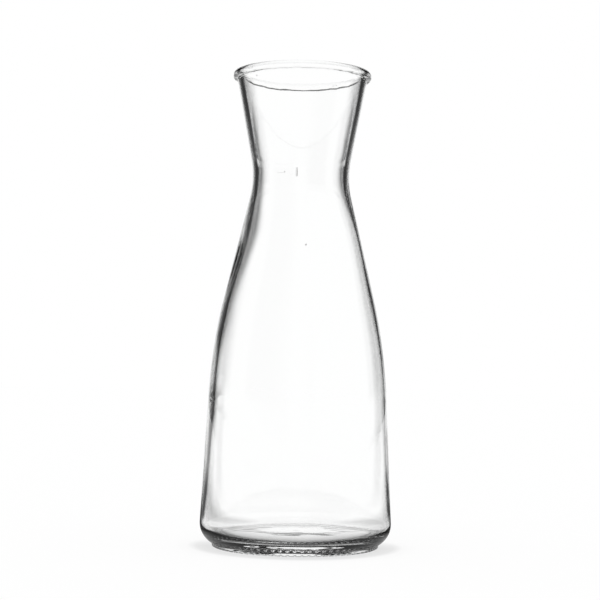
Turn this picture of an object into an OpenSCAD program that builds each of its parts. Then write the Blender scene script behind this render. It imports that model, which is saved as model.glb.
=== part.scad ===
// One-litre table carafe, pressed and blown in clear glass, in millimetres.
// The table is the plane z = 0 and the carafe's axis is Z. The level mark faces -Y.

/* [Outer form] */
// Height from the table to the top of the rim
height = 257; // [240:1:300]
// Radius at which the body's flank, carried on down, would meet the table
base_r = 52.2; // [48:0.1:60]
// Radius of the corner between body and shoulder, before it is rounded
shoulder_r = 46.9; // [42:0.1:50]
// Height of the corner between body and shoulder
shoulder_z = 107.4; // [90:0.2:125]
// Radius of the corner at the waist, before it is rounded
waist_r = 25.2; // [22:0.1:30]
// Height of the corner at the waist
waist_z = 198.6; // [180:0.2:210]
// Outer radius of the neck where it reaches the rim
neck_top_r = 36.1; // [32:0.1:42]

/* [Roundings of the outer form] */
// Radius of the heel between base and flank
heel_fillet = 12; // [8:0.5:14]
// Radius of the soft turn from body to shoulder
shoulder_fillet = 290; // [150:5:340]
// Radius of the waist
waist_fillet = 50; // [25:1:80]

/* [Rim] */
// How far the rim bead stands out from the neck
bead_proud = 1.5; // [1.2:0.1:2.5]
// Height of the rim bead
bead_h = 4; // [3.4:0.1:6]
// Rounding of the bead's top edge, outside and inside
bead_fillet = 2.1; // [1.2:0.1:2.2]
// Rounding under the bead
bead_under_fillet = 1; // [0.4:0.1:1.1]
// Hollow rounding where the bead meets the neck
bead_root_fillet = 0.35; // [0.1:0.05:0.4]

/* [Glass thickness] */
// Wall at the rim
wall_rim = 3.1; // [2.8:0.1:4.5]
// Wall at the waist
wall_waist = 3.3; // [2.5:0.1:4.5]
// Wall at the shoulder corner
wall_shoulder = 2.2; // [1.8:0.1:4]
// Wall at the foot of the flank
wall_foot = 2.6; // [1.8:0.1:4]
// Radius inside the heel
inner_heel_fillet = 6; // [4:0.5:12]

/* [Base] */
// Height of the inner floor's flank, carried on out to the wall
floor_z = 6.4; // [5.5:0.1:9]
// Rise of the inner floor in the middle
floor_rise = 1.2; // [0.4:0.1:2]
// Radius of the flat middle of the inner floor
floor_mid_r = 16; // [8:0.5:24]
// Rounding between the floor's flank and its flat middle
floor_fillet = 400; // [200:10:500]
// Height of the hollow under the base
hollow_z = 2.8; // [2.4:0.1:3.6]
// Width of the hollow's sloping flank, from its flat middle out to the ring's inner side
hollow_flank_w = 18.5; // [16:0.1:22]
// Rounding between the hollow's flank and its flat middle
hollow_fillet = 300; // [100:10:400]

/* [Bearing ring] */
// How far the ring's outer edge lies inside the foot of the flank
ring_inset = 7.3; // [6:0.1:9]
// Width of the ring
ring_w = 4; // [3:0.1:6]
// How far the ring stands below the heel
ring_drop = 0.4; // [0.2:0.05:0.8]
// Rounding of the ring's two edges
ring_fillet = 0.3; // [0.1:0.05:0.4]
// Height of the ring's steep inner side
ring_rise = 2; // [1.6:0.1:2.2]
// Width of that side, from its foot to its top
ring_slope = 0.4; // [0.2:0.05:0.8]
// Rounding where that side meets the hollow
ring_root_fillet = 0.6; // [0.3:0.05:0.8]

/* [Knurls] */
// Number of knurl grooves round the foot
knurl_count = 78; // [48:1:96]
// Radius of one groove's round bottom
knurl_r = 1; // [0.7:0.05:1.3]
// Depth of a groove below the line from the ring's edge to the groove's end
knurl_depth = 0.4; // [0.3:0.05:0.7]
// Height above the table at which that line leaves the heel
knurl_top_z = 3; // [2:0.1:4]

/* [Level mark] */
// Height of the one-litre level above the table
mark_z = 199.6; // [185:0.2:210]
// How far the mark stands out from the neck
mark_proud = 0.35; // [0.2:0.05:0.6]
// Width of the level line
line_w = 4.2; // [3:0.1:8]
// Height of the level line
line_h = 0.8; // [0.5:0.05:1.2]
// Width of the upright stroke beside it
stroke_w = 0.8; // [0.5:0.05:1.2]
// Height of the upright stroke
stroke_h = 5; // [3:0.1:6]
// Distance round the neck from the front to the stroke
stroke_off = 2.2; // [0:0.1:5]
// Distance round the neck from the stroke to the middle of the line
stroke_gap = 8.5; // [6:0.1:12]

/* [Hidden] */
// Widest gap between a rounding and the flats that stand for it
curve_gap = 0.02;
// Depth by which a cutting form runs past the glass
overrun = 2;
// Flats round the axis in the preview
$fn = 180;

// Unit vector from point a to point b.
function unit(a, b) = (b - a) / norm(b - a);

// Points along the rounding of corner b between a and c, as [radius, height].
function corner_arc(a, b, c, fillet) =
    let (
        u = unit(b, a),
        v = unit(b, c),
        half = acos(u * v) / 2,
        centre = b + (u + v) / norm(u + v) * fillet / sin(half),
        from = b + u * fillet / tan(half) - centre,
        to = b + v * fillet / tan(half) - centre,
        start = atan2(from.y, from.x),
        turn = (atan2(to.y, to.x) - start + 540) % 360 - 180,
        steps = ceil(abs(turn) / acos(1 - curve_gap / fillet) / 2)
    )
    [for (i = [0 : steps]) let (angle = start + turn * i / steps)
        centre + fillet * [cos(angle), sin(angle)]];

// An outline through corners given as [radius, height, fillet]; its two ends stay sharp.
function rounded(corners) =
    let (last = len(corners) - 1)
    [for (i = [0 : last]) let (c = corners[i], at = [c[0], c[1]])
        each i == 0 || i == last || c[2] == 0 ? [at]
            : corner_arc([corners[i - 1][0], corners[i - 1][1]], at,
                         [corners[i + 1][0], corners[i + 1][1]], c[2])];

// Radius at height z on the straight line between the points [radius, height] a and b.
function on_line(a, b, z) = a.x + (b.x - a.x) * (z - a.y) / (b.y - a.y);

// Radii of the bearing ring's outer side, of the top of its inner side, and of the hollow's
// flat middle.
ring_r = base_r - ring_inset;
ring_root_r = ring_r - ring_w - ring_slope;
hollow_mid_r = ring_root_r - hollow_flank_w;

// The heel, from under the base out to the flank, and the part of it past the bearing ring.
heel_arc = corner_arc([0, ring_drop], [base_r, ring_drop], [shoulder_r, shoulder_z], heel_fillet);
heel_end = heel_arc[len(heel_arc) - 1];
heel = [for (p = heel_arc) if (p.x > ring_r && p.y < heel_end.y) p];

// The underside: the hollow, then the bearing ring, whose side runs up to the heel.
foot = rounded([
    [0, hollow_z, 0],
    [hollow_mid_r, hollow_z, hollow_fillet],
    [ring_root_r, ring_rise, ring_root_fillet],
    [ring_r - ring_w, 0, ring_fillet],
    [ring_r, 0, ring_fillet],
    [ring_r, lookup(ring_r, heel_arc), 0]
]);

// The outside, from the top of the heel to the root of the rim bead.
bead_root_z = height - bead_h;
bead_root_r = on_line([waist_r, waist_z], [neck_top_r, height], bead_root_z);
outside = [
    [heel_end.x, heel_end.y, 0],
    [shoulder_r, shoulder_z, shoulder_fillet],
    [waist_r, waist_z, waist_fillet],
    [bead_root_r, bead_root_z, bead_root_fillet]
];

// The rim bead, from its lower edge over the top to the inside of the neck.
bead_r = neck_top_r + bead_proud;
rim_inner_r = neck_top_r - wall_rim;
rim = [
    [bead_r, bead_root_z, bead_under_fillet],
    [bead_r, height, bead_fillet],
    [rim_inner_r, height, bead_fillet]
];

// The inside, from the waist down to the middle of the floor.
inner_shoulder_r = shoulder_r - wall_shoulder;
inner_foot_r = on_line([base_r - wall_foot, 0], [inner_shoulder_r, shoulder_z], floor_z);
inside = [
    [waist_r - wall_waist, waist_z, waist_fillet],
    [inner_shoulder_r, shoulder_z, shoulder_fillet],
    [inner_foot_r, floor_z, inner_heel_fillet],
    [floor_mid_r, floor_z + floor_rise, floor_fillet],
    [0, floor_z + floor_rise, 0]
];

// Half of the vessel's section, all round from the middle of the hollow to the floor's middle.
vessel_outline = concat(foot, heel, rounded(concat(outside, rim, inside)));

// Outer radius of the glass at height z, between the bearing ring and the rim bead.
outer_wall = concat(heel, rounded(outside));
function outer_r(z) = lookup(z, [for (p = outer_wall) [p.y, p.x]]);

// Litres held below height z, from the inside as a stack of cut cones.
cavity = rounded(concat([[rim_inner_r, height, 0]], inside));
function cone_volume(low, top) =
    PI * (top.y - low.y) * (low.x * low.x + low.x * top.x + top.x * top.x) / 3;
function litres(z, i = 0) =
    i + 1 >= len(cavity) ? 0
        : let (top = cavity[i], low = cavity[i + 1], level = min(z, top.y))
          (low.y < level ? cone_volume(low, [on_line(low, top, level), level]) / 1e6 : 0)
              + litres(z, i + 1);
echo(litres_to_the_mark = litres(mark_z), litres_to_the_brim = litres(height));

// The turned form: wall, rim bead, hollow base and bearing ring in one section.
module turned_glass() {
    rotate_extrude() polygon(vessel_outline);
}

// One round groove across the outer edge of the foot, rising from the table up the heel.
module knurl_groove() {
    low = [ring_r, 0];
    high = [outer_r(knurl_top_z), knurl_top_z];
    rise = atan2(high.y - low.y, high.x - low.x);
    stand_off = knurl_r - knurl_depth;
    translate([low.x + stand_off * sin(rise), 0, low.y - stand_off * cos(rise)])
        rotate([0, 90 - rise, 0])
            translate([0, 0, -overrun])
                cylinder(r = knurl_r, h = norm(high - low) + overrun, $fn = 24);
}

// The ring of knurl grooves.
module knurls() {
    for (i = [0 : knurl_count - 1])
        rotate(i * 360 / knurl_count) knurl_groove();
}

// A flat bar that stands out from the front of the neck, at an offset round it.
module mark_bar(wide, high, offset) {
    neck_r = outer_r(mark_z);
    rotate(offset / neck_r * 180 / PI)
        translate([-wide / 2, -neck_r - mark_proud, mark_z - high / 2])
            cube([wide, wall_waist / 2 + mark_proud, high]);
}

// The level line and the upright stroke of the one-litre mark.
module level_mark() {
    mark_bar(line_w, line_h, -stroke_off - stroke_gap);
    mark_bar(stroke_w, stroke_h, -stroke_off);
}

// The whole carafe is one piece of glass.
module glass_body() {
    color([0.86, 0.92, 0.91, 0.45])
    union() {
        difference() {
            turned_glass();
            knurls();
        }
        level_mark();
    }
}

glass_body();
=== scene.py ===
import math

import bmesh
import bpy
from bpy.props import FloatProperty, FloatVectorProperty, IntProperty, PointerProperty
from mathutils import Matrix, Vector, noise


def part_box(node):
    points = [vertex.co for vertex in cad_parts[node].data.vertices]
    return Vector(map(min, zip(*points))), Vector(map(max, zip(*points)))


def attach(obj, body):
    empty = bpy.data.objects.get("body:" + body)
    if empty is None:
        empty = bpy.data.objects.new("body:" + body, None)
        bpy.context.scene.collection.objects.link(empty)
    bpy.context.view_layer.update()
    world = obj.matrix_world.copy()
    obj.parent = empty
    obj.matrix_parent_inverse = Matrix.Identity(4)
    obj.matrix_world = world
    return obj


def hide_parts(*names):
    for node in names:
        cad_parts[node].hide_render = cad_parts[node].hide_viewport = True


bl_info = {
    "name": "Glass Table Carafe",
    "version": (1, 0, 0),
    "blender": (4, 5, 0),
    "location": "View3D > Sidebar > Carafe",
    "description": "A blown glass carafe with a rolled rim, a waist and a knurled foot",
    "category": "Add Mesh",
}

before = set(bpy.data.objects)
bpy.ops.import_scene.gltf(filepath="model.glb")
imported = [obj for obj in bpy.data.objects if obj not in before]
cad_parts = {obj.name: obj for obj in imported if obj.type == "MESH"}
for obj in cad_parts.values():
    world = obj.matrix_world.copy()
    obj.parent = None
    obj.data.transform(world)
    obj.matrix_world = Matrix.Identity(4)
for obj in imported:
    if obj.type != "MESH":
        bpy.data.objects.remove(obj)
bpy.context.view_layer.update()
glass_low, glass_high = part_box("glass_body")

MM = 0.001
# The carafe's height and widest radius, as the frame holds them.
HEIGHT = glass_high.z - glass_low.z
WIDEST = (glass_high.x - glass_low.x) / 2
# Points closer than this are one point.
SAME_POINT = 1e-6

# Distances between the section's points: at the heel, in wide roundings and along the walls.
HEEL_STEP, ROUND_STEP, WALL_STEP = 0.3 * MM, 1.5 * MM, 2.8 * MM
# Columns of faces across one knurl's wedge of the carafe, and cuts in each of them at the foot.
WEDGE_STEPS = 3
FOOT_CUTS = 3
# The foot is cut up to this height, and this far inwards from the ring's outer edge.
FOOT_TOP = 3.6 * MM
FOOT_IN = 1.2 * MM
# Radius of a knurl groove's round bottom, and how far inwards from the ring's outer edge the
# knurls' finish reaches.
KNURL_R = 1.0 * MM
RING_EDGE = 0.5 * MM

# Under the base: radius of the hollow's flat middle, its rounding, the rounding where it meets
# the bearing ring, and the rounding of the ring's two edges.
HOLLOW_FLAT_R, HOLLOW_ROUND = 22 * MM, 300 * MM
RING_ROOT_ROUND, RING_ROUND = 0.6 * MM, 0.3 * MM
# Inside: radius of the floor's flat middle and its rounding.
FLOOR_FLAT_R, FLOOR_ROUND = 16 * MM, 400 * MM
# Rim bead: the roundings at its root, at its lower edge and at its top edges.
BEAD_ROOT_ROUND, BEAD_LOW_ROUND, BEAD_TOP_ROUND = 0.7 * MM, 1 * MM, 2.1 * MM

# Height at which the hollow's drift is largest, and how far it fades upwards and downwards.
DRIFT_Z, DRIFT_UP, DRIFT_DOWN = 168 * MM, 32 * MM, 40 * MM
# Distance from the rim and from the axis over which the blown wall starts to wander.
BLOWN_FADE = 30 * MM
# The base is uneven up to this height and out to this radius, and fades over the last distance.
UNEVEN_TOP, UNEVEN_R, UNEVEN_FADE = 10 * MM, 38 * MM, 8 * MM
# The bead's underside is uneven this far above, below and inside its edge.
BEAD_REACH = 1.2 * MM

# Height of the one-litre level, and how much wider the neck is there than the waist's corner.
MARK_Z = 199.6 * MM
MARK_WIDER = 1.17 * MM
# Raised marks of that level: name, width, height, distance round the neck from the front, how
# far it stands out, and its rounding.
MARKS = (
    ("level_line", 4.2 * MM, 0.8 * MM, -10.7 * MM, 0.3 * MM, 0.12 * MM),
    ("level_stroke", 0.8 * MM, 5 * MM, -2.2 * MM, 0.5 * MM, 0.38 * MM),
)
# Tiny bubbles in the glass: place and radius.
SEEDS = (
    ((3.2 * MM, -32.4 * MM, 160.5 * MM), 0.4 * MM),
    ((-23.7 * MM, -23.6 * MM, 250.8 * MM), 0.35 * MM),
    ((30.8 * MM, -14.6 * MM, 254.3 * MM), 0.35 * MM),
    ((18.4 * MM, 29.2 * MM, 254.6 * MM), 0.25 * MM),
    ((19.4 * MM, 28.8 * MM, 255.1 * MM), 0.2 * MM),
    ((20.4 * MM, 28.0 * MM, 254.7 * MM), 0.25 * MM),
)

# The camera stands this far to the right, is tilted by the first angle and rolled by the second.
CAMERA_RIGHT = 0.6 * MM
CAMERA_TILT, CAMERA_ROLL = math.radians(91.91), math.radians(0.93)


# Settings that a user would change


class CarafeForm(bpy.types.PropertyGroup):
    """Sizes of the glass, all in metres."""

    base_r: FloatProperty(
        name="Base radius",
        description="Radius at which the flank, carried on down, would meet the table",
        default=52.2 * MM, subtype="DISTANCE")
    shoulder_r: FloatProperty(
        name="Shoulder radius", description="Radius of the corner between body and shoulder",
        default=46.9 * MM, subtype="DISTANCE")
    shoulder_z: FloatProperty(
        name="Shoulder height", description="Height of that corner",
        default=107.4 * MM, subtype="DISTANCE")
    waist_r: FloatProperty(
        name="Waist radius", description="Radius of the corner at the waist",
        default=25.2 * MM, subtype="DISTANCE")
    waist_z: FloatProperty(
        name="Waist height", description="Height of the corner at the waist",
        default=198.6 * MM, subtype="DISTANCE")
    neck_top_r: FloatProperty(
        name="Neck radius", description="Outer radius of the neck where it reaches the rim",
        default=36.1 * MM, subtype="DISTANCE")
    heel_fillet: FloatProperty(
        name="Heel rounding", description="Radius of the heel between base and flank",
        default=12 * MM, subtype="DISTANCE")
    shoulder_fillet: FloatProperty(
        name="Shoulder rounding", description="Radius of the turn from body to shoulder",
        default=290 * MM, subtype="DISTANCE")
    waist_fillet: FloatProperty(
        name="Waist rounding", description="Radius of the waist",
        default=50 * MM, subtype="DISTANCE")
    bead_proud: FloatProperty(
        name="Bead projection", description="How far the rim bead stands out from the neck",
        default=1.5 * MM, subtype="DISTANCE")
    bead_h: FloatProperty(
        name="Bead height", description="Height of the rim bead",
        default=4 * MM, subtype="DISTANCE")
    wall_rim: FloatProperty(
        name="Wall at the rim", description="Glass thickness under the rim",
        default=3.1 * MM, subtype="DISTANCE")
    wall_waist: FloatProperty(
        name="Wall at the waist", description="Glass thickness at the waist",
        default=3.3 * MM, subtype="DISTANCE")
    wall_shoulder: FloatProperty(
        name="Wall at the shoulder", description="Glass thickness at the shoulder",
        default=2.2 * MM, subtype="DISTANCE")
    wall_foot: FloatProperty(
        name="Wall at the foot", description="Glass thickness low on the flank",
        default=2.6 * MM, subtype="DISTANCE")
    inner_heel: FloatProperty(
        name="Inner heel rounding", description="Radius inside the heel",
        default=6 * MM, subtype="DISTANCE")
    floor_z: FloatProperty(
        name="Floor height", description="Height of the inner floor at the heel",
        default=6.4 * MM, subtype="DISTANCE")
    floor_rise: FloatProperty(
        name="Floor rise", description="Rise of the inner floor in the middle",
        default=1.2 * MM, subtype="DISTANCE")
    hollow_z: FloatProperty(
        name="Hollow height", description="Height of the hollow under the base",
        default=2.8 * MM, subtype="DISTANCE")
    ring_r: FloatProperty(
        name="Ring radius", description="Outer radius of the bearing ring",
        default=44.9 * MM, subtype="DISTANCE")
    ring_w: FloatProperty(
        name="Ring width", description="Width of the bearing ring",
        default=4 * MM, subtype="DISTANCE")
    ring_rise: FloatProperty(
        name="Ring height", description="Height of the ring's inner side",
        default=2 * MM, subtype="DISTANCE")
    ring_slope: FloatProperty(
        name="Ring slope", description="Width of the ring's sloping inner side",
        default=0.4 * MM, subtype="DISTANCE")
    ring_drop: FloatProperty(
        name="Ring drop", description="How far the ring stands below the heel",
        default=0.4 * MM, subtype="DISTANCE")
    knurl_count: IntProperty(
        name="Knurls", description="Number of knurl grooves round the foot", default=78)
    knurl_depth: FloatProperty(
        name="Knurl depth", description="Depth of a knurl groove",
        default=0.4 * MM, subtype="DISTANCE")
    knurl_top_z: FloatProperty(
        name="Knurl height", description="Height at which the grooves run out on the heel",
        default=3 * MM, subtype="DISTANCE")
    ripple: FloatProperty(
        name="Ripple", description="Depth of the slow waves in the blown inner wall",
        default=0.22 * MM, subtype="DISTANCE")
    swirl: FloatProperty(
        name="Swirl", description="Depth of the uneven places in the base and under the rim",
        default=0.07 * MM, subtype="DISTANCE")
    drift: FloatProperty(
        name="Drift", description="How far the hollow sits to the right, at most",
        default=1.2 * MM, subtype="DISTANCE")


class CarafeLook(bpy.types.PropertyGroup):
    """Colours and light."""

    glass_tint: FloatVectorProperty(
        name="Glass tint", description="Colour that clear glass gives to light passing through",
        default=(0.997, 0.999, 0.998), subtype="COLOR", min=0, max=1)
    # Painted shade: the colour the glass is turned to where it is seen edge on, much darker than
    # the glass itself.
    painted_edge_shade: FloatVectorProperty(
        name="Edge tint", description="Colour of the glass where it is seen edge on",
        default=(0.50, 0.52, 0.52), subtype="COLOR", min=0, max=1)
    glass_ior: FloatProperty(
        name="Refraction", description="Index of refraction of soda-lime glass",
        default=1.52, min=1, max=2)
    table: FloatVectorProperty(
        name="Table", description="Colour of the table top",
        default=(0.98, 0.98, 0.98), subtype="COLOR", min=0, max=1)
    lens_mm: FloatProperty(
        name="Lens", description="Focal length for a 36 mm wide picture", default=88.7)
    eye_distance: FloatProperty(
        name="Camera distance", description="Distance from the carafe's axis",
        default=0.803, subtype="DISTANCE")
    eye_height: FloatProperty(
        name="Camera height", description="Height above the table",
        default=0.106, subtype="DISTANCE")


def form():
    return bpy.context.scene.carafe_form


def look():
    return bpy.context.scene.carafe_look


# Drawing the section


def unit(a, b):
    """Direction from a to b."""
    return (b - a).normalized()


def corner_arc(a, b, c, fillet, step):
    """Points of the rounding of corner b, at most a step apart."""
    u, v = unit(b, a), unit(b, c)
    half = u.angle(v) / 2
    centre = b + (u + v).normalized() * fillet / math.sin(half)
    start = b + u * fillet / math.tan(half) - centre
    turn = start.angle_signed(b + v * fillet / math.tan(half) - centre)
    count = max(4, math.ceil(abs(turn) * fillet / step))
    points = []
    for i in range(count + 1):
        arm = start.copy()
        arm.rotate(Matrix.Rotation(-turn * i / count, 2))
        points.append(centre + arm)
    return points


def rounded(corners):
    """A section line through corners given as (radius, height, rounding, distance between its
    points). The two ends have only a radius and a height."""
    points = [Vector(corners[0][:2])]
    for before, (r, z, fillet, step), after in zip(corners, corners[1:-1], corners[2:]):
        points += corner_arc(Vector(before[:2]), Vector((r, z)), Vector(after[:2]),
                             fillet, step)
    points.append(Vector(corners[-1][:2]))
    return points


def filled(points, gap):
    """The same line with more points, so that no two lie further apart than the gap."""
    out = [points[0]]
    for a, b in zip(points, points[1:]):
        count = max(1, math.ceil((b - a).length / gap))
        out += [a.lerp(b, i / count) for i in range(1, count + 1)]
    return out


def on_line(a, b, z):
    """Radius at height z on the straight line through two corners."""
    return a[0] + (b[0] - a[0]) * (z - a[1]) / (b[1] - a[1])


def heel_arc(step):
    """Points of the heel's rounding, from under the base out to the flank."""
    f = form()
    return corner_arc(Vector((0, f.ring_drop)), Vector((f.base_r, f.ring_drop)),
                      Vector((f.shoulder_r, f.shoulder_z)), f.heel_fillet, step)


def section():
    """The carafe's half section as (point, share in the hollow's wandering), from the hollow
    under the base, round the outside and over the rim, to the middle of the floor inside."""
    f = form()
    heel = heel_arc(HEEL_STEP)
    ring_side = min(heel, key=lambda p: abs(p.x - f.ring_r)).y
    # Above the knurls every other point is enough.
    heel = [p for i, p in enumerate(heel[::-1])
            if p.x > f.ring_r and (p.y < FOOT_TOP or i % 2 == 0)][::-1]
    foot = rounded([
        (0, f.hollow_z),
        (HOLLOW_FLAT_R, f.hollow_z, HOLLOW_ROUND, ROUND_STEP),
        (f.ring_r - f.ring_w - f.ring_slope, f.ring_rise, RING_ROOT_ROUND, 0.15 * MM),
        (f.ring_r - f.ring_w, 0, RING_ROUND, 0.1 * MM),
        (f.ring_r, 0, RING_ROUND, 0.1 * MM),
        (f.ring_r, ring_side)])
    foot = foot[:-2] + filled(foot[-2:], HEEL_STEP)

    bead_z = HEIGHT - f.bead_h
    neck_top = (f.neck_top_r, HEIGHT)
    neck_r = on_line((f.waist_r, f.waist_z), neck_top, bead_z)
    bead_r = f.neck_top_r + f.bead_proud
    mouth_r = f.neck_top_r - f.wall_rim
    inner_shoulder = f.shoulder_r - f.wall_shoulder
    inner_foot = on_line((f.base_r - f.wall_foot, 0), (inner_shoulder, f.shoulder_z), f.floor_z)
    outer = rounded([
        heel[-1],
        (f.shoulder_r, f.shoulder_z, f.shoulder_fillet, WALL_STEP),
        (f.waist_r, f.waist_z, f.waist_fillet, ROUND_STEP),
        (neck_r, bead_z, BEAD_ROOT_ROUND, 0.12 * MM),
        (bead_r, bead_z, BEAD_LOW_ROUND, 0.14 * MM),
        (bead_r, HEIGHT, BEAD_TOP_ROUND, 0.25 * MM),
        (mouth_r, HEIGHT, BEAD_TOP_ROUND, 0.25 * MM),
        (f.waist_r - f.wall_waist, f.waist_z)])[:-1]
    inner = rounded([
        (mouth_r, HEIGHT),
        (f.waist_r - f.wall_waist, f.waist_z, f.waist_fillet, ROUND_STEP),
        (inner_shoulder, f.shoulder_z, f.shoulder_fillet, WALL_STEP),
        (inner_foot, f.floor_z, f.inner_heel, 0.6 * MM),
        (FLOOR_FLAT_R, f.floor_z + f.floor_rise, FLOOR_ROUND, ROUND_STEP),
        (0, f.floor_z + f.floor_rise)])[1:]
    wall = filled(foot + heel[:-1] + outer, WALL_STEP)
    hollow = filled([wall[-1]] + inner, WALL_STEP)[1:]
    return [(p, 0.0) for p in wall] + [(p, blown_share(p)) for p in hollow]


def blown_share(p):
    """How far the blown wall may wander at a point: not at the rim, fully lower down."""
    below_rim = (HEIGHT - p.y) / BLOWN_FADE
    off_axis = p.x / BLOWN_FADE
    return max(0.0, min(1.0, below_rim)) * max(0.0, min(1.0, off_axis))


def drift_share(z):
    """How much of the hollow's drift shows at height z: none in the neck, all of it in the
    shoulder and less down the body."""
    reach = (z - DRIFT_Z) / (DRIFT_UP if z > DRIFT_Z else DRIFT_DOWN)
    bump = 0.5 + 0.5 * math.cos(math.pi * max(-1.0, min(1.0, reach)))
    return bump if z > DRIFT_Z else 0.5 + 0.5 * bump


def clear_selection():
    if bpy.context.mode != "OBJECT":
        bpy.ops.object.mode_set(mode="OBJECT")
    bpy.ops.object.select_all(action="DESELECT")


def start_piece(name):
    """Name the object that an operator has just added, and its mesh."""
    piece = bpy.context.object
    piece.name = name
    piece.data.name = name
    return piece


def draw_section(points):
    """Draw a wire through the section's points, starting from a plane merged to one point."""
    clear_selection()
    bpy.ops.mesh.primitive_plane_add(size=WIDEST, location=(0, 0, 0))
    piece = start_piece("glass_carafe")
    bpy.ops.object.mode_set(mode="EDIT")
    bpy.ops.mesh.merge(type="CENTER")
    first = points[0]
    bpy.ops.transform.translate(value=(first.x, 0, first.y))
    for a, b in zip(points, points[1:]):
        bpy.ops.mesh.extrude_region_move(
            TRANSFORM_OT_translate={"value": (b.x - a.x, 0, b.y - a.y)})
    return piece


def at_foot(r, z):
    """Whether a radius and height lie where the knurls are."""
    return z < FOOT_TOP and r > form().ring_r - FOOT_IN


def press_knurl(piece):
    """Cut the foot of one wedge into more columns, and press one groove in it."""
    f = form()
    step = 2 * math.pi / f.knurl_count / WEDGE_STEPS
    low = Vector((f.ring_r, 0))
    high = Vector((heel_radius(f.knurl_top_z), f.knurl_top_z))
    along = unit(low, high)
    out = Vector((along.y, -along.x))
    stand_off = KNURL_R - f.knurl_depth

    bpy.ops.mesh.select_mode(type="EDGE")
    mesh = bmesh.from_edit_mesh(piece.data)
    for edge in mesh.edges:
        a, b = (v.co for v in edge.verts)
        level = max(abs(a.z - b.z), abs(a.xy.length - b.xy.length)) < SAME_POINT
        edge.select_set(level and at_foot(a.xy.length, a.z))
    mesh.select_flush_mode()
    bmesh.update_edit_mesh(piece.data)
    bpy.ops.mesh.subdivide(number_cuts=FOOT_CUTS)
    bpy.ops.mesh.select_mode(type="VERT")

    mesh = bmesh.from_edit_mesh(piece.data)
    middle = WEDGE_STEPS * step / 2
    for v in mesh.verts:
        r = v.co.xy.length
        if r < SAME_POINT:
            continue
        # A cut leaves its points on the chord of a column. They belong on the circle.
        turn = math.atan2(v.co.y, v.co.x)
        chord_mid = (math.floor(min(turn / step, WEDGE_STEPS - SAME_POINT)) + 0.5) * step
        r *= math.cos(turn - chord_mid) / math.cos(step / 2)
        place = Vector((r, v.co.z))
        if at_foot(r, place.y):
            sideways = r * (turn - middle)
            if abs(sideways) < KNURL_R:
                floor_at = stand_off - math.sqrt(KNURL_R ** 2 - sideways ** 2)
                over = (place - low).dot(out) - floor_at
                if over > 0:
                    place -= out * over
        v.co = Vector((place.x * math.cos(turn), place.x * math.sin(turn), place.y))
    bmesh.update_edit_mesh(piece.data)


def heel_radius(z):
    """Radius of the heel at height z."""
    return min(heel_arc(0.1 * MM), key=lambda p: abs(p.y - z)).x


def uneven_rise(at):
    """How far a point of the base or of the bead's underside is lifted."""
    f = form()
    radius = at.xy.length
    off_bead = abs(at.z - (HEIGHT - f.bead_h))
    if at.z < UNEVEN_TOP and radius < UNEVEN_R:
        share = min(1.0, (UNEVEN_R - radius) / UNEVEN_FADE)
        return f.swirl * share * noise.noise(at / (9 * MM) + Vector((0, 0, 3)))
    if off_bead < BEAD_REACH and radius > f.neck_top_r - BEAD_REACH:
        share = 1 - off_bead / BEAD_REACH
        uneven = noise.noise(at / (6 * MM)) + 0.5 * noise.noise(at / (2.5 * MM))
        return 5 * f.swirl * share * uneven
    return 0.0


def slow_wave(at):
    """Height of the blown wall's waves at a point, about 1 at most: long ones and, weaker,
    short ones, both stretched upwards."""
    long_wave = noise.noise(Vector((at.x / 0.034, at.y / 0.034, at.z / 0.075)))
    short_wave = noise.noise(Vector((at.x / 0.014, at.y / 0.014, 7 + at.z / 0.03)))
    return long_wave + 0.35 * short_wave


def blow_wall(piece):
    """Make the base and the bead's underside uneven, and let the blown inner wall wander: a
    drift to one side and slow waves. Then give the faces their materials: outer wall, inner
    wall or knurls. The outer wall and the knurls have painted shade where they are seen edge
    on; the inner wall has none."""
    f = form()
    group = piece.vertex_groups["hollow"].index
    mesh = bmesh.new()
    mesh.from_mesh(piece.data)
    mesh.normal_update()
    weights = mesh.verts.layers.deform.active
    for v in mesh.verts:
        at = v.co.copy()
        v.co.z += uneven_rise(at)
        share = v[weights].get(group, 0.0)
        if share == 0:
            continue
        aside = f.drift * drift_share(at.z)
        v.co += share * (v.normal * (f.ripple * slow_wave(at)) + Vector((aside, 0, 0)))
    # The outer wall and the knurls get materials with painted edge shade, the inner wall one
    # without it.
    for face in mesh.faces:
        middle = face.calc_center_median()
        if middle.z < f.knurl_top_z and middle.xy.length > f.ring_r - RING_EDGE:
            face.material_index = 2
        else:
            face.material_index = int(all(v[weights].get(group, 0.0) > 0 for v in face.verts))
    mesh.to_mesh(piece.data)
    mesh.free()


def raise_bar(name, wide, high, offset, proud, rounding):
    """One raised bar of the level mark, half sunk in the front of the neck."""
    f = form()
    neck_r = f.waist_r + MARK_WIDER
    turn = -math.pi / 2 + offset / neck_r
    deep = f.wall_waist / 2 + proud
    clear_selection()
    bpy.ops.mesh.primitive_cube_add(size=1, location=(0, 0, 0))
    bar = start_piece(name)
    bpy.ops.object.mode_set(mode="EDIT")
    bpy.ops.transform.resize(value=(deep, wide, high))
    bpy.ops.mesh.bevel(offset=rounding, segments=3, affect="EDGES")
    middle = neck_r + proud - deep / 2
    bpy.ops.transform.translate(value=(middle, 0, MARK_Z))
    mesh = bmesh.from_edit_mesh(bar.data)
    bmesh.ops.rotate(mesh, cent=(0, 0, 0), matrix=Matrix.Rotation(turn, 3, "Z"),
                     verts=mesh.verts)
    bmesh.update_edit_mesh(bar.data)
    bpy.ops.object.mode_set(mode="OBJECT")
    return bar


def fuse_with(piece, bar):
    """Join a raised bar to the glass as one skin."""
    joint = piece.modifiers.new("raised_bar", "BOOLEAN")
    joint.operation = "UNION"
    joint.solver = "EXACT"
    joint.object = bar
    clear_selection()
    piece.select_set(True)
    bpy.context.view_layer.objects.active = piece
    bpy.ops.object.modifier_apply(modifier=joint.name)
    bpy.data.meshes.remove(bar.data)


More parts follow.
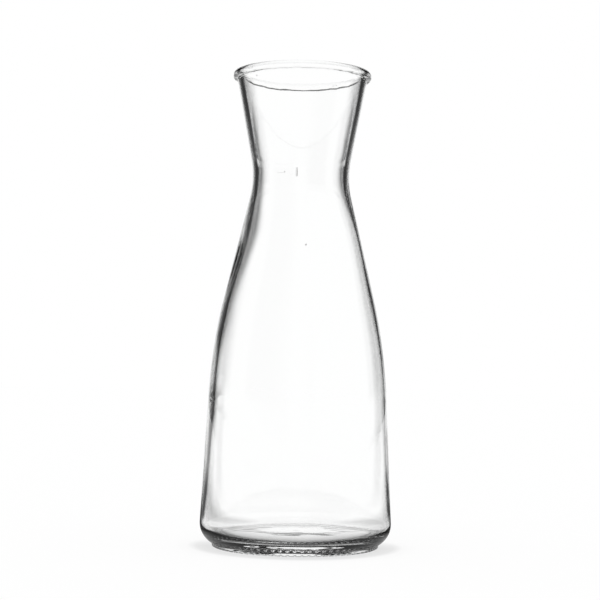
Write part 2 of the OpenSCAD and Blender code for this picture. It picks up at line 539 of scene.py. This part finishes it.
def add_seed(piece, place, size):
    """A tiny air bubble in the wall: a closed skin that faces inwards. It has no material, so
    it shows as a plain grey speck."""
    clear_selection()
    bpy.ops.mesh.primitive_ico_sphere_add(subdivisions=2, radius=size, location=place)
    seed = start_piece("seed")
    bpy.ops.object.mode_set(mode="EDIT")
    bpy.ops.mesh.select_all(action="SELECT")
    bpy.ops.transform.resize(value=(0.8, 0.8, 1.4))
    bpy.ops.mesh.flip_normals()
    bpy.ops.object.mode_set(mode="OBJECT")
    piece.select_set(True)
    bpy.context.view_layer.objects.active = piece
    bpy.ops.object.join()


# Materials


def add_node(tree, kind, links=(), **values):
    """Add a node, set its properties and sockets, and link other sockets into it."""
    node = tree.nodes.new(kind)
    for key, value in values.items():
        setattr(node, key, value)
    for socket, source in links:
        if isinstance(source, bpy.types.NodeSocket):
            tree.links.new(source, node.inputs[socket])
        else:
            node.inputs[socket].default_value = source
    return node


def sums(tree, operation, *values, clamp=False):
    """One Math node on the given sockets or numbers; gives its output."""
    return add_node(tree, "ShaderNodeMath", list(enumerate(values)),
                    operation=operation, use_clamp=clamp).outputs[0]


def centred(tree, value, scale):
    """Scale a value so that its zero falls on the middle of a ramp; gives the output."""
    return sums(tree, "MULTIPLY_ADD", value, scale, 0.5)


def ramp(tree, value, stops):
    """A grey ramp over (place, brightness) stops; gives its colour output."""
    node = add_node(tree, "ShaderNodeValToRGB", [("Fac", value)])
    cells = node.color_ramp.elements
    while len(cells) < len(stops):
        cells.new(0.5)
    for cell, (place, bright) in zip(cells, stops):
        cell.position = place
        cell.color = (bright, bright, bright, 1)
    return node.outputs["Color"]


def ripple_group():
    """Group: the slow draw lines and the faint orange peel of blown glass, as a normal."""
    group = bpy.data.node_groups.new("blown_ripple", "ShaderNodeTree")
    face = group.interface
    for name, value in (("Draw", 0.1), ("Peel", 0.02)):
        socket = face.new_socket(name, in_out="INPUT", socket_type="NodeSocketFloat")
        socket.default_value = value
    face.new_socket("Normal", in_out="OUTPUT", socket_type="NodeSocketVector")
    start = group.nodes.new("NodeGroupInput")
    end = group.nodes.new("NodeGroupOutput")
    coords = add_node(group, "ShaderNodeTexCoord")
    stretched = add_node(group, "ShaderNodeMapping", [
        ("Vector", coords.outputs["Object"]), ("Scale", (1, 1, 0.3))])
    draw = add_node(group, "ShaderNodeTexNoise", [
        ("Vector", stretched.outputs[0]), ("Scale", 60), ("Detail", 1), ("Roughness", 0.4)])
    peel = add_node(group, "ShaderNodeTexNoise", [
        ("Vector", coords.outputs["Object"]), ("Scale", 260), ("Detail", 1)])
    slow = add_node(group, "ShaderNodeBump", [
        ("Strength", start.outputs["Draw"]), ("Distance", MM), ("Height", draw.outputs[0])])
    both = add_node(group, "ShaderNodeBump", [
        ("Strength", start.outputs["Peel"]), ("Distance", MM), ("Height", peel.outputs[0]),
        ("Normal", slow.outputs[0])])
    group.links.new(both.outputs[0], end.inputs["Normal"])
    return group


def clear_glass(name, painted_edge_shade, ripple):
    """Clear soda-lime glass with faint ripples, and painted shade: its colour turns towards the
    edge colour where it is seen edge on.
    """
    settings = look()
    material = bpy.data.materials.new(name)
    material.use_nodes = True
    tree = material.node_tree
    glass = tree.nodes["Principled BSDF"]
    glass.inputs["Roughness"].default_value = 0
    glass.inputs["IOR"].default_value = settings.glass_ior
    glass.inputs["Transmission Weight"].default_value = 1
    # Painted shade: the colour goes from the glass tint to the edge colour as the surface turns
    # edge on.
    edge = add_node(tree, "ShaderNodeLayerWeight", [("Blend", 0.5)])
    rim = ramp(tree, edge.outputs["Facing"], [(0.0, 0.0), (0.7, 0.0), (0.86, 0.8), (1.0, 1.0)])
    tint = add_node(tree, "ShaderNodeMix", [
        (0, rim), (6, (*settings.glass_tint, 1)), (7, (*painted_edge_shade, 1))],
        data_type="RGBA")
    tree.links.new(tint.outputs[2], glass.inputs["Base Color"])
    ripples = add_node(tree, "ShaderNodeGroup", node_tree=ripple)
    ripples.inputs["Draw"].default_value = 0.06
    ripples.inputs["Peel"].default_value = 0.01
    tree.links.new(ripples.outputs["Normal"], glass.inputs["Normal"])
    return material


def ground_glass(ripple):
    """The knurled foot, which the mould leaves slightly rough."""
    # The knurls have the same painted shade where they are seen edge on.
    material = clear_glass("ground_glass", look().painted_edge_shade, ripple)
    glass = material.node_tree.nodes["Principled BSDF"]
    glass.inputs["Roughness"].default_value = 0.03
    return material


def card_group():
    """Group: soft dark cards round the studio, between its white sides, as a darkness over
    the compass direction of a vector. The wide ones fill the two far corners and reach round
    to the left. The broad and the narrow ones are two bands beside the far middle, which end
    about 60 and about 45 degrees away from it."""
    group = bpy.data.node_groups.new("studio_cards", "ShaderNodeTree")
    face = group.interface
    face.new_socket("Vector", in_out="INPUT", socket_type="NodeSocketVector")
    for name in ("Wide", "Broad", "Narrow"):
        face.new_socket(name, in_out="OUTPUT", socket_type="NodeSocketFloat")
    start = group.nodes.new("NodeGroupInput")
    end = group.nodes.new("NodeGroupOutput")
    flat = add_node(group, "ShaderNodeVectorMath", [
        (0, start.outputs["Vector"]), (1, (1, 1, 0))], operation="MULTIPLY")
    facing = add_node(group, "ShaderNodeVectorMath", [(0, flat.outputs[0])],
                      operation="NORMALIZE")
    x, y, _ = add_node(group, "ShaderNodeSeparateXYZ", [("Vector", facing.outputs[0])]).outputs
    corner = sums(group, "MULTIPLY", sums(group, "ABSOLUTE", sums(group, "MULTIPLY", x, y)), 2)
    cards = ramp(group, corner, [(0.36, 0.0), (0.44, 0.12), (0.53, 0.45), (0.64, 0.82),
                                 (0.76, 0.95), (1.0, 0.97)])
    ahead = centred(group, y, 0.5)
    far_side = ramp(group, ahead, [(0.35, 0.0), (0.6, 1.0)])
    left_side = ramp(group, centred(group, x, 0.5), [(0.2, 0.5), (0.45, 0.0)])
    wide = sums(group, "MULTIPLY", cards, sums(group, "MAXIMUM", far_side, left_side))
    broad = ramp(group, ahead, [(0.70, 0.0), (0.80, 0.95), (0.945, 0.95), (0.98, 0.0)])
    narrow = ramp(group, ahead, [(0.83, 0.0), (0.885, 0.95), (0.935, 0.95), (0.97, 0.0)])
    group.links.new(wide, end.inputs["Wide"])
    group.links.new(broad, end.inputs["Broad"])
    group.links.new(narrow, end.inputs["Narrow"])
    return group


def table_top(cards):
    """A white table that meets the white background. The camera sees it mostly as an even white
    glow with a faint painted shadow round the foot, and a little matt white that keeps the
    carafe's real shadow. Seen through the glass it has a deep painted shadow under the foot, a
    painted dark ring where the foot stands and painted dark cards; mirrored in the glass it is
    painted dark round the foot and to both sides."""
    settings = look()
    material = bpy.data.materials.new("table_top")
    material.use_nodes = True
    tree = material.node_tree
    tree.nodes.clear()
    path = add_node(tree, "ShaderNodeLightPath")
    through = path.outputs["Is Transmission Ray"]
    coords = add_node(tree, "ShaderNodeTexCoord").outputs["Object"]

    flat = add_node(tree, "ShaderNodeVectorMath", [(0, coords), (1, (1, 1, 0))],
                    operation="MULTIPLY")
    radius = add_node(tree, "ShaderNodeVectorMath", [(0, flat.outputs[0])],
                      operation="LENGTH").outputs["Value"]
    # Each of the next three ramps is a decimetre wide.
    near_axis = sums(tree, "MULTIPLY", radius, 10)
    # Painted shadow on the table under the foot: darkest under the heel and the bearing ring,
    # and deeper on the front side than behind.
    foot = ramp(tree, near_axis, [
        (0.05, 0.1), (0.2, 0.3), (0.34, 0.6), (0.41, 0.92), (0.48, 0.98), (0.53, 0.85),
        (0.58, 0.1), (0.66, 0.0)])
    _, depth, _ = add_node(tree, "ShaderNodeSeparateXYZ", [("Vector", coords)]).outputs
    near_side = ramp(tree, centred(tree, depth, 10), [(0.45, 1.0), (0.55, 0.75), (0.7, 0.1)])
    foot = sums(tree, "MULTIPLY", foot, near_side)
    # Painted shadow: a narrow dark ring all round where the bearing ring stands.
    ring = ramp(tree, near_axis, [(0.40, 0.0), (0.415, 0.85), (0.445, 0.85), (0.46, 0.0)])
    foot = sums(tree, "MAXIMUM", foot, ring)
    standing = add_node(tree, "ShaderNodeGroup", [("Vector", coords)], node_tree=cards)
    # Painted shade: dark cards drawn on the table beyond the foot, which only light passing the
    # glass sees.
    painted_dark_card = sums(tree, "MULTIPLY", standing.outputs["Narrow"], ramp(tree, radius, [
        (0.05, 0.0), (0.07, 0.3), (0.12, 0.4), (0.2, 1.0)]))
    # Painted shade for mirrored light: the glass mirrors a table painted dark round the foot and
    # to both sides. Passing light has both of these flags, and mirrored light only the first.
    mirrored = sums(tree, "SUBTRACT", path.outputs["Is Glossy Ray"], through, clamp=True)
    below = ramp(tree, sums(tree, "MULTIPLY", radius, 2), [
        (0.11, 0.55), (0.15, 0.97), (0.3, 0.85), (0.6, 0.3), (0.9, 0.0)])
    aside = sums(tree, "MULTIPLY", standing.outputs["Broad"],
                 ramp(tree, radius, [(0.5, 1.0), (0.9, 0.0)]))
    below = sums(tree, "MULTIPLY", sums(tree, "MAXIMUM", below, aside), mirrored)
    # Light passing the glass sees all of the painted shadow under the foot; the camera and
    # mirrored light see a fifth of it.
    foot = sums(tree, "MULTIPLY", foot, sums(tree, "MULTIPLY_ADD", through, 0.8, 0.2))
    dark = sums(tree, "MAXIMUM", foot, sums(tree, "MULTIPLY", painted_dark_card, through))
    dark = sums(tree, "MAXIMUM", dark, below)
    # The glow's colour: white, darkened by all of the painted shade above.
    painted_shade = add_node(tree, "ShaderNodeMix", [
        (0, dark), (6, (1, 1, 1, 1)), (7, (0, 0, 0, 1))], data_type="RGBA").outputs[2]

    matt = add_node(tree, "ShaderNodeBsdfDiffuse", [("Color", (*settings.table, 1))])
    glow = add_node(tree, "ShaderNodeEmission", [("Color", painted_shade), ("Strength", 1.0)])
    in_glass = sums(tree, "MAXIMUM", path.outputs["Is Glossy Ray"], through)
    seen = sums(tree, "MAXIMUM", path.outputs["Is Camera Ray"], in_glass)
    # The camera and the glass see the table mostly as an even white glow that carries the
    # painted shade, and a little matt white with its real shadow; matt surfaces see only the
    # matt white.
    share = sums(tree, "MULTIPLY", seen, sums(tree, "MULTIPLY_ADD", in_glass, 0.05, 0.92))
    both = add_node(tree, "ShaderNodeMixShader", [
        (0, share), (1, matt.outputs[0]), (2, glow.outputs[0])])
    add_node(tree, "ShaderNodeOutputMaterial", [("Surface", both.outputs[0])])
    return material


def studio_light(world, cards):
    """White all round for the camera and for matt surfaces. Glass also sees the dark cards,
    and light that has passed through it sees a dark ceiling."""
    world.use_nodes = True
    tree = world.node_tree
    tree.nodes.clear()
    coords = add_node(tree, "ShaderNodeTexCoord")
    _, _, z = add_node(tree, "ShaderNodeSeparateXYZ",
                       [("Vector", coords.outputs["Generated"])]).outputs
    path = add_node(tree, "ShaderNodeLightPath")
    standing = add_node(tree, "ShaderNodeGroup", [("Vector", coords.outputs["Generated"])],
                        node_tree=cards)
    # Passing light sees the narrow cards near the horizon and the wide ones above. Mirrored
    # light sees the broad ones.
    horizon = ramp(tree, centred(tree, z, 2), [
        (0.46, 0.0), (0.49, 1.0), (0.54, 1.0), (0.62, 0.0)])
    passing = add_node(tree, "ShaderNodeMix", [
        (0, horizon), (2, standing.outputs["Wide"]), (3, standing.outputs["Narrow"])]).outputs[0]
    cards = add_node(tree, "ShaderNodeMix", [
        (0, path.outputs["Is Transmission Ray"]), (2, standing.outputs["Broad"]),
        (3, passing)]).outputs[0]
    upright = ramp(tree, centred(tree, z, 0.5),
                   [(0.44, 0.0), (0.47, 1.0), (0.86, 1.0), (0.95, 0.0)])
    dark = sums(tree, "MULTIPLY", cards, upright)
    ceiling = ramp(tree, z, [(0.7, 0.0), (0.8, 0.95)])
    ceiling = sums(tree, "MULTIPLY", ceiling, path.outputs["Is Transmission Ray"])
    dark = sums(tree, "MAXIMUM", dark, ceiling)
    in_glass = sums(tree, "MAXIMUM", path.outputs["Is Glossy Ray"],
                    path.outputs["Is Transmission Ray"])
    strength = sums(tree, "SUBTRACT", 1, sums(tree, "MULTIPLY", dark, in_glass))
    sky = add_node(tree, "ShaderNodeBackground", [
        ("Color", (1, 1, 1, 1)), ("Strength", strength)])
    add_node(tree, "ShaderNodeOutputWorld", [("Surface", sky.outputs[0])])


# Operators


class CARAFE_OT_glass(bpy.types.Operator):
    """Add the carafe's one piece of glass."""

    bl_idname = "carafe.glass"
    bl_label = "Glass"

    def execute(self, context):
        points = section()
        piece = draw_section([p for p, _ in points])
        bpy.ops.object.mode_set(mode="OBJECT")
        group = piece.vertex_groups.new(name="hollow")
        for vertex, (_, share) in zip(piece.data.vertices, points):
            if share:
                group.add([vertex.index], share, "REPLACE")
        bpy.ops.object.mode_set(mode="EDIT")
        bpy.ops.mesh.select_all(action="SELECT")
        wedge = 2 * math.pi / form().knurl_count
        bpy.ops.mesh.spin(steps=WEDGE_STEPS, angle=-wedge, center=(0, 0, 0), axis=(0, 0, 1))
        bpy.ops.mesh.select_all(action="SELECT")
        bpy.ops.mesh.remove_doubles(threshold=SAME_POINT)
        press_knurl(piece)
        bpy.ops.mesh.select_all(action="SELECT")
        bpy.ops.mesh.spin(steps=form().knurl_count - 1, dupli=True, center=(0, 0, 0),
                          angle=2 * math.pi - wedge, axis=(0, 0, 1))
        bpy.ops.mesh.select_all(action="SELECT")
        bpy.ops.mesh.remove_doubles(threshold=SAME_POINT)
        bpy.ops.mesh.normals_make_consistent(inside=False)
        bpy.ops.object.mode_set(mode="OBJECT")
        piece.data.materials.clear()
        settings = look()
        ripple = ripple_group()
        # The outer wall's glass has painted shade where it is seen edge on; the inner wall's
        # glass has none.
        piece.data.materials.append(clear_glass("clear_glass", settings.painted_edge_shade, ripple))
        piece.data.materials.append(
            clear_glass("clear_glass_inside", settings.glass_tint, ripple))
        piece.data.materials.append(ground_glass(ripple))
        blow_wall(piece)
        for mark in MARKS:
            fuse_with(piece, raise_bar(*mark))
        for place, size in SEEDS:
            add_seed(piece, place, size)
        clear_selection()
        piece.select_set(True)
        context.view_layer.objects.active = piece
        bpy.ops.object.shade_smooth_by_angle(angle=math.radians(35))
        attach(piece, "root")
        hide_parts("glass_body")
        return {"FINISHED"}


class CARAFE_OT_stage(bpy.types.Operator):
    """Add the table, the studio's light and the camera."""

    bl_idname = "carafe.stage"
    bl_label = "Table, light and camera"

    def execute(self, context):
        clear_selection()
        bpy.ops.mesh.primitive_plane_add(size=6, location=(0, 0, 0))
        table = start_piece("table")
        bpy.ops.object.mode_set(mode="EDIT")
        bpy.ops.mesh.subdivide(number_cuts=4)
        # A hair below the foot, so that light leaving the ring meets the table.
        bpy.ops.transform.translate(value=(0, 0, -0.05 * MM))
        bpy.ops.object.mode_set(mode="OBJECT")
        cards = card_group()
        table.data.materials.append(table_top(cards))

        scene = context.scene
        if scene.world is None:
            scene.world = bpy.data.worlds.new("studio")
        studio_light(scene.world, cards)

        settings = look()
        lens = bpy.data.cameras.new("camera")
        lens.sensor_width = 36
        lens.lens = settings.lens_mm
        camera = bpy.data.objects.new("camera", lens)
        scene.collection.objects.link(camera)
        aim = Matrix.Rotation(CAMERA_TILT, 4, "X") @ Matrix.Rotation(CAMERA_ROLL, 4, "Z")
        camera.matrix_world = Matrix.Translation(
            (CAMERA_RIGHT, -settings.eye_distance, settings.eye_height)) @ aim
        scene.camera = camera
        scene.view_settings.view_transform = "Standard"
        return {"FINISHED"}


class CARAFE_PT_panel(bpy.types.Panel):
    """Lists the carafe's pieces and settings."""

    bl_idname = "CARAFE_PT_panel"
    bl_label = "Glass Table Carafe"
    bl_space_type = "VIEW_3D"
    bl_region_type = "UI"
    bl_category = "Carafe"

    def draw(self, context):
        for settings in (context.scene.carafe_form, context.scene.carafe_look):
            column = self.layout.column()
            for name in settings.__annotations__:
                column.prop(settings, name)
        for operator in OPERATORS:
            self.layout.operator(operator.bl_idname)


OPERATORS = (CARAFE_OT_glass, CARAFE_OT_stage)
CLASSES = (CarafeForm, CarafeLook, *OPERATORS, CARAFE_PT_panel)


def register():
    for cls in CLASSES:
        bpy.utils.register_class(cls)
    bpy.types.Scene.carafe_form = PointerProperty(type=CarafeForm)
    bpy.types.Scene.carafe_look = PointerProperty(type=CarafeLook)


def unregister():
    del bpy.types.Scene.carafe_look
    del bpy.types.Scene.carafe_form
    for cls in reversed(CLASSES):
        bpy.utils.unregister_class(cls)


def main():
    register()
    bpy.ops.carafe.glass()
    bpy.ops.carafe.stage()


if __name__ == "__main__":
    main()
